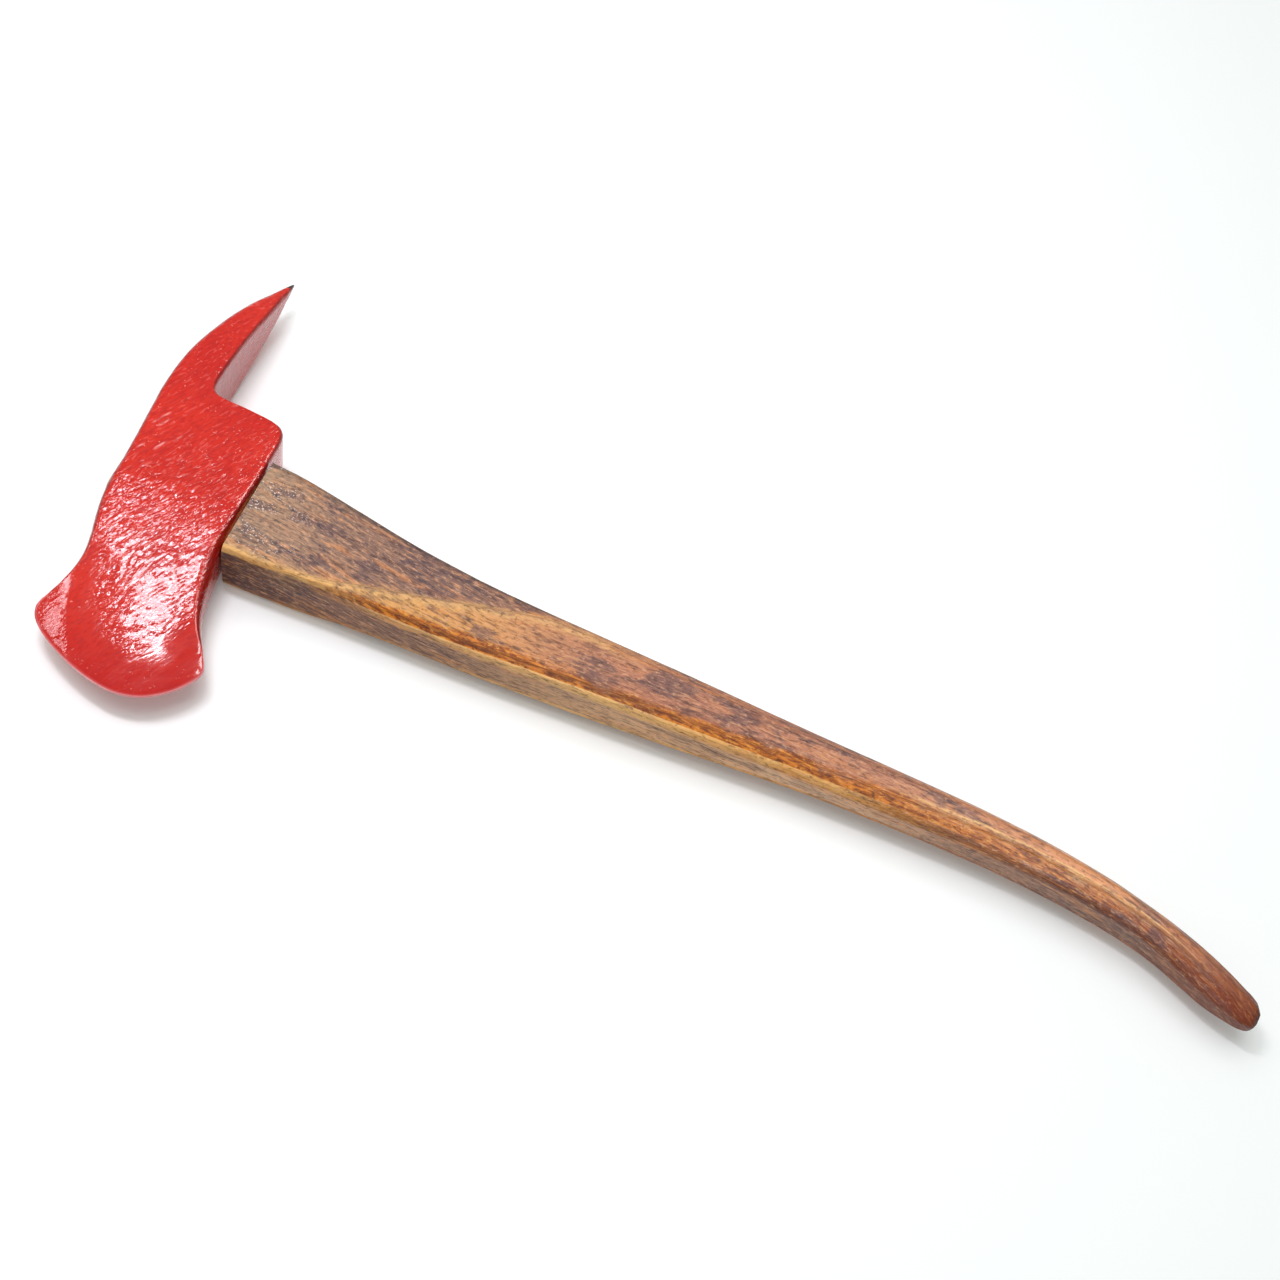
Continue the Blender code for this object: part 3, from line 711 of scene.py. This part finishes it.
def make_head():
    """The painted head, with the paint's relief in the mesh and the marks that its material reads."""
    obj = head_loft()
    mesh = obj.data
    points, normals = points_of(mesh), normals_of(mesh)
    x, y, z = points.T
    run, side = with_strokes(x, y)
    from_edge = from_cutting_edge(x, y)
    across_toe = (x - TOE_LINE[0]) * TOE_ACROSS[0] + (y - TOE_LINE[1]) * TOE_ACROSS[1]
    rough = paint_roughness(x, y, from_edge, across_toe)
    # Strokes of thick paint: long, low ridges that run along the brush.
    strokes = noise(np.column_stack([run, side, z]) / STROKE_CELL, seed=11)
    pimples = noise(points / PIMPLE_CELL, seed=12)
    swell = noise(points / SWELL_CELL, seed=13)
    height = (STROKE_HEIGHT * strokes + PIMPLE_HEIGHT * pimples) * rough + SWELL_HEIGHT * swell
    height *= step(y, PICK_TIP_Y, PICK_TIP_Y - 14)
    in_eye = np.abs(y - EYE_Y) < TENON_HALF_LENGTH + 1
    in_eye &= np.abs(z - MID) < TENON_HALF_HEIGHT_TOP + 1
    height[in_eye] = 0
    height = np.minimum(height, HIGHEST_PAINT)
    # The two cheeks and the cutting edge stay inside the CAD's box.
    moved = points + normals * (height - PAINT_INSET)[:, None] * (~in_eye)[:, None]
    flat = TOE_SLOPE * np.logaddexp(0, across_toe / TOE_SOFTNESS) * TOE_SOFTNESS * step(y, -60, -75)
    fall = EDGE_FALL * (np.clip(EDGE_BAND - from_edge, 0, None) / EDGE_BAND) ** 2
    moved[:, 2] -= (flat + fall) * np.sign(z - MID) * step(np.abs(z - MID), 0.5, 2.5)
    move_points(mesh, moved)
    tilt = np.abs(normals[:, 2])
    tip = step(y, PICK_TIP_Y - 9, PICK_TIP_Y - 2)
    chip = step(np.hypot(x - CHIP[0], y - CHIP[1]) + np.abs(z - CHIP[2]) * 0.5, 5, 1)
    # Among these masks: painted shade along the cutting edge, on the rounded edges and on the pick's inner
    # side, a painted reflection on the cutting edge's narrow face, and painted highlights along the
    # scratches.
    for name, values in {
        "thick": step(from_edge, 20, 6),
        "scratch": scratched(run, side, strokes) * step(z, MID + 10, MID + 16),
        "rough": rough,
        "rim_shade": step(tilt, 0.95, 0.75) * step(tilt, 0.1, 0.4) * step(from_edge, 3, 9),
        "edge_reflection": step(from_edge, 3.4, 1.4) * step(tilt, 0.97, 0.75),
        "inner_side_shade": step(tilt, 0.6, 0.3) * step(normals[:, 0], 0.2, 0.6) * step(y, 62, 68),
        "bare": np.maximum(tip, chip),
    }.items():
        give_values(mesh, name, values)
    mesh.shade_smooth()
    mesh.set_sharp_from_angle(angle=SHARP_ANGLE)
    mesh.materials.clear()
    mesh.materials.append(paint_material())
    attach(obj, "root")
    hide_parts("axe_head")


# ---------------------------------------------------------------- the handle
def stain_at(x, lane):
    """The stain's colour at a place along the handle and a lane on its upper half."""
    rows = np.array([[row[0], *np.ravel([srgb(*face) for face in row[1:]])] for row in STAIN])
    zones = len(STAIN_LANES)
    faces = curve_at(rows, np.clip(x, rows[0, 0], rows[-1, 0])).reshape(len(x), zones, 3)
    at = np.interp(lane, STAIN_LANES, range(zones))
    low = np.minimum(at.astype(int), zones - 2)
    # Each zone keeps its colour to near its edge.
    share = step(at - low, 0.3, 0.7)[:, None]
    every = np.arange(len(x))
    return faces[every, low] * (1 - share) + faces[every, low + 1] * share


def girth_of(ring, lane):
    """How far round the handle each point lies, from the back edge. On the underside and the back it is
    measured from the middle of each flat, so the grain stays straight where the handle tapers."""
    steps = np.linalg.norm(np.diff(ring, axis=0, append=ring[:1]), axis=1)
    girth = np.concatenate([[0], np.cumsum(steps[:-1])])
    flat = np.floor(lane).astype(int) % SIDES
    round_again = np.where(lane < 0, girth + steps.sum(), girth)
    for k in range(SIDES // 2, SIDES):
        here = flat == k
        girth[here] = round_again[here] - (round_again[here].min() + round_again[here].max()) / 2
    return girth


def handle_loft():
    """The tenon and the body in one mesh, with each point's lane and how far round it lies."""
    body = [np.arange(SHOULDER_X, 640, 2.0), np.arange(640, 700, 1.5), [700.5, 701.8, 702.8, GRIP_END_X]]
    sections = [tenon_ring(x) for x in np.linspace(CROWN_X, SHOULDER_X, TENON_RINGS)]
    sections += [handle_ring(x) for x in np.concatenate(body)]
    obj = loft("handle_varnished", [ring for ring, _ in sections])
    lane = np.concatenate([lane for _, lane in sections])
    girth = np.concatenate([girth_of(*section) for section in sections])
    return obj, lane, girth


def wood_noise(x, girth, cell, layer, seed):
    """Noise along the handle and round it. layer is where the pattern is cut."""
    return noise(np.column_stack([x / cell[0], girth / cell[1], np.full(len(x), layer)]), seed)


def soft_line(offset, width):
    """1 where offset is 0, fading out within about width."""
    return np.exp(-((offset / width) ** 2))


def wood_marks(x, lane, folded):
    """Where the wood's lines of colour lie: resin, pale lines along the corners where varnish pools, with a
    painted highlight on them, a crack, painted shade along the back edge, and a darker grip end. folded is
    the lane of the same place on the upper half."""
    all_round = np.zeros(len(x))
    wander = 0.16 * wood_noise(x, all_round, WANDER_CELL, layer=5.5, seed=24)
    faded = 0.55 + 0.45 * wood_noise(x, all_round, FADED_CELL, layer=2.5, seed=25)
    back, front, cheek, ridge = (curve_at(line, x)[:, 0] for line in (BACK, FRONT, CHEEK_LINE, RIDGE_LINE))
    on_top = lane < 3.5
    facet = np.where(folded < 1, cheek, ridge - cheek) * (back - front)
    # Pale lines along the corners, where varnish pools: painted highlights.
    cheek_line = soft_line((folded - 1) * facet - 1.4 + 8 * wander, 2.2) * step(x, 44, 56)
    cheek_line *= step(x, 215, 150) + 0.6 * step(x, 150, 215) * step(x, 300, 260)
    near_head = step(folded, 0.93, 1.0) * step(folded, 2.75, 2.35) * step(x, 150, 80)
    cheek_line = np.maximum(cheek_line, 0.75 * near_head)
    lip = soft_line(folded - 2.90 + 0.4 * wander, 0.13) * step(x, 110, 160) * step(x, 480, 400)
    grip_line = 1.3 * soft_line(folded - 1.80 + 0.4 * wander, 0.13) * step(x, 450, 500) * step(x, 680, 620)
    amber = step(folded + 0.6 * wander + 0.12 * step(x, 270, 200), 1.90, 2.00)
    amber *= step(folded + 0.8 * wander, 2.82, 2.62)
    amber *= step(x, 95, 135) * (step(x, 500, 400) + 0.75 * step(x, 400, 500) * step(x, 640, 560))
    crack = soft_line(folded - 2.02 + 0.3 * wander, 0.045) * step(x, 70, 100) * step(x, 400, 280)
    # Painted shade along the back edge; darker also over the grip's end.
    back_edge = soft_line(np.minimum(np.abs(lane), np.abs(lane - SIDES)), 0.08) * (0.75 + 0.25 * faded)
    end = step(x, GRIP_END_X - 5, GRIP_END_X - 0.5)
    return {
        "varnish_and_highlight": np.clip((cheek_line + lip + grip_line) * (0.35 + 0.8 * faded) * on_top, 0, 1),
        "amber": np.clip(amber * on_top, 0, 1),
        "crack": np.clip(crack * (0.1 + 0.9 * faded) * on_top, 0, 1),
        "rim_shade": np.clip(0.8 * back_edge + 0.8 * end, 0, 1),
    }


def make_handle():
    """The handle, with the wood's relief in the mesh and the marks that its material reads."""
    obj, lane, girth = handle_loft()
    mesh = obj.data
    points, normals = points_of(mesh), normals_of(mesh)
    x = points[:, 0]
    folded = np.where(lane > 7, 0.0, np.where(lane > 3.5, 7 - lane, lane))
    # Long fibres and open pores, deepest near the head.
    fibres = wood_noise(x, girth, FIBRE_CELL, layer=0.0, seed=21)
    pits = wood_noise(x, girth, PIT_CELL, layer=3.3, seed=22)
    wave = wood_noise(x, girth, WAVE_CELL, layer=7.1, seed=23)
    coarse = 0.35 + 0.65 * step(x, 330, 60)
    height = FIBRE_HEIGHT * fibres - PIT_DEPTH * step(pits, 0.35, 0.75) * coarse + WAVE_HEIGHT * wave
    height *= step(x, SHOULDER_X + 0.1, SHOULDER_X + 3)
    on_body = x > SHOULDER_X + 0.05
    move_points(mesh, points + normals * ((height - WOOD_INSET) * on_body)[:, None])
    give_values(mesh, "stain", stain_at(x, folded), "FLOAT_COLOR")
    for name, values in {
        "along": x * MM,
        "around": girth * MM,
        "face": np.floor(lane) % SIDES * FACE_SHIFT,
        **wood_marks(x, lane, folded),
        "patchy": 1 - 0.7 * step(folded, 2.9, 3.1) * step(x, 60, 130),
        "smooth": step(x, 380, 560),
        "tip": 0.5 * step(x, 600, 690),
        "open": 0.35 + 0.65 * step(x, 360, 90),
        "dry": step(x, 100, 50) * step(folded, 1.2, 0.9),
    }.items():
        give_values(mesh, name, values)
    mesh.shade_smooth()
    cutters = [wedge_slot("kerf", EYE_Y, **WOOD_WEDGE, upright=False)]
    for offset in STEEL_WEDGE_Y:
        cutters.append(wedge_slot("slot", EYE_Y + offset, **STEEL_WEDGE, upright=True))
    cut(obj, cutters)
    # The cuts' own points are bare wood too, so this is given after them.
    mesh = obj.data
    give_values(mesh, "tenon", step(points_of(mesh)[:, 0], SHOULDER_X - 0.2, SHOULDER_X - 1.5))
    mesh.set_sharp_from_angle(angle=SHARP_ANGLE)
    mesh.materials.clear()
    mesh.materials.append(wood_material())
    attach(obj, "root")
    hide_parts("handle")


# ---------------------------------------------------------------- the wedges
def dress_wedges():
    """Gives the three CAD wedges their materials and worn edges."""
    wood = end_grain_material("split_wedge_wood", (0.80, 0.66, 0.46), (0.62, 0.45, 0.28))
    steel = steel_material()
    for name, material in (
        ("eye_wedge", wood),
        ("cross_wedge_pick_side", steel),
        ("cross_wedge_blade_side", steel),
    ):
        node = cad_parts[name]
        node.data.materials.clear()
        node.data.materials.append(material)
        bevel = node.modifiers.new("worn_edges", "BEVEL")
        bevel.width = 0.2 * MM
        bevel.segments = 2


# ---------------------------------------------------------------- table, light and camera, in metres
TABLE_HALF = 6.0
TABLE_Z = -0.00005
TABLE_GLOW = 0.085
PANEL_Z = 1.25
WORLD_COLOUR = (1.0, 0.99, 0.97, 1)
WORLD_STRENGTH = 0.42
CAMERA_PLACE = (0.30761, -0.50956, 0.95672)
CAMERA_TURNS = (2.245, 30.0, 21.0)  # degrees: heading, tilt from straight down, roll


def make_table():
    """A white table, just under the axe, with a slight glow that stands for the light of a white room."""
    m = Shader("white_table")
    whole = m.place()
    shade = m.mix(m.noise(whole, 3, 3), srgb(0.945, 0.968, 0.962), srgb(0.935, 0.960, 0.953))
    m.set(Base_Color=shade, Roughness=0.6, Normal=m.bump(m.noise(whole, 300, 2), 0.00005, 0.3))
    m.set(Emission_Color=(1.0, 1.0, 1.0), Emission_Strength=TABLE_GLOW)
    mesh = bpy.data.meshes.new("table")
    corners = [(x * TABLE_HALF, y * TABLE_HALF, TABLE_Z) for x, y in ((-1, -1), (1, -1), (1, 1), (-1, 1))]
    mesh.from_pydata(corners, [], [(0, 1, 2, 3)])
    table = bpy.data.objects.new("table", mesh)
    bpy.context.scene.collection.objects.link(table)
    mesh.materials.append(m.material)


def area_light(name, place, size, power, colour=(1, 1, 1), aim=None, shows=True, lights=True):
    """A rectangular panel, facing straight down unless it is given a point to aim at. It can be left out
    of reflections, or be only a reflection."""
    light = bpy.data.lights.new(name, "AREA")
    light.shape = "RECTANGLE"
    light.size, light.size_y = size
    light.energy = power
    light.color = colour
    obj = bpy.data.objects.new(name, light)
    obj.location = place
    if aim:
        obj.rotation_euler = (Vector(aim) - Vector(place)).to_track_quat("-Z", "Y").to_euler()
    obj.visible_glossy = shows
    obj.visible_diffuse = lights
    bpy.context.scene.collection.objects.link(obj)


def make_light():
    """The key both lights the axe and shows in it. The toe, ridge and edge panels are only reflections, each
    for the part that it is named after, and overhead is only light."""
    scene = bpy.context.scene
    world = bpy.data.worlds.new("studio")
    world.use_nodes = True
    background = world.node_tree.nodes["Background"]
    background.inputs["Color"].default_value = WORLD_COLOUR
    background.inputs["Strength"].default_value = WORLD_STRENGTH
    scene.world = world
    area_light("key", (-0.19, 0.085, PANEL_Z), (0.40, 0.11), 6.2, colour=(0.97, 0.91, 1.0))
    area_light("toe", (-1.27, -0.24, PANEL_Z), (0.50, 0.52), 9.0, colour=(1.0, 0.93, 0.99), lights=False)
    area_light("ridge", (0.79, 0.15, PANEL_Z), (0.54, 0.16), 4.2, lights=False)
    area_light("edge", (0.62, 0.62, PANEL_Z), (0.95, 0.24), 9.0, lights=False)
    area_light("overhead", (-0.35, 0.42, 2.3), (2.2, 2.2), 35, aim=(0.15, 0.0, 0.0), shows=False)


def make_camera():
    """A 50 mm lens 60 degrees above the table."""
    camera = bpy.data.cameras.new("camera")
    camera.lens = 50
    camera.sensor_width = 36
    obj = bpy.data.objects.new("camera", camera)
    heading, tilt, roll = (math.radians(a) for a in CAMERA_TURNS)
    turn = Matrix.Rotation(heading, 4, "Z") @ Matrix.Rotation(tilt, 4, "X") @ Matrix.Rotation(roll, 4, "Z")
    obj.matrix_world = Matrix.Translation(CAMERA_PLACE) @ turn
    bpy.context.scene.collection.objects.link(obj)
    bpy.context.scene.camera = obj


make_head()
make_handle()
dress_wedges()
make_table()
make_light()
make_camera()
bpy.context.scene.view_settings.view_transform = "Standard"
